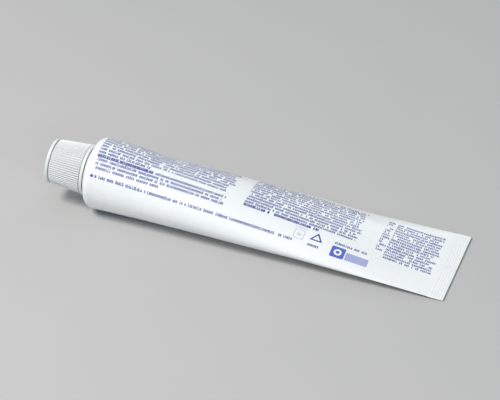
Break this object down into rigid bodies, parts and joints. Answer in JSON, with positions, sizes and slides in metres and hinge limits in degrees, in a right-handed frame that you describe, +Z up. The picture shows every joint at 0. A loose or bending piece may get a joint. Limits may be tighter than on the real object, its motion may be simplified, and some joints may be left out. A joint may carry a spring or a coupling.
{
  "type": "shaving cream tube",
  "caption": "Filled laminate squeeze tube of shaving cream lying on its side, with a flat crimped tail, a rounded shoulder and a fluted screw cap.",
  "frame": {"origin": "middle of the bounding box on the plane the tube lies on", "axes": "+Z up; +X runs along the tube from the cap to the crimped tail; Y is the wide way of the tail. The neck axis rises 5.5 degrees towards the cap, because the round shoulder end is thicker than the flat tail."},
  "size_m": [0.2033, 0.055, 0.035],
  "materials": {
    "laminate": "gloss",
    "shoulder": "satin",
    "insert": "matte",
    "foil": "satin",
    "cap": "satin",
    "foam": "matte",
    "cream": "satin"
  },
  "bodies": {
    "tube": {"tube_sleeve": "laminate", "shoulder_head": "shoulder", "barrier_insert": "insert", "foil_seal": "foil", "cream": "cream"},
    "liner": {"cap_liner": "foam"},
    "cap": {"cap": "cap"}
  },
  "joints": [
    {"name": "cap_lift", "type": "slide", "parent": "tube", "child": "liner", "axis": [-0.9954, 0, 0.0956], "range_m": [0, 0.018]},
    {"name": "cap_turn", "type": "hinge", "parent": "liner", "child": "cap", "pos_m": [-0.08949, 0, 0.0189], "axis": [-0.9954, 0, 0.0956], "range_deg": [0, 1980]}
  ],
  "couplings": [
    {"joint": "cap_lift", "follows": "cap_turn", "m_per_rad": 0.0005093}
  ]
}
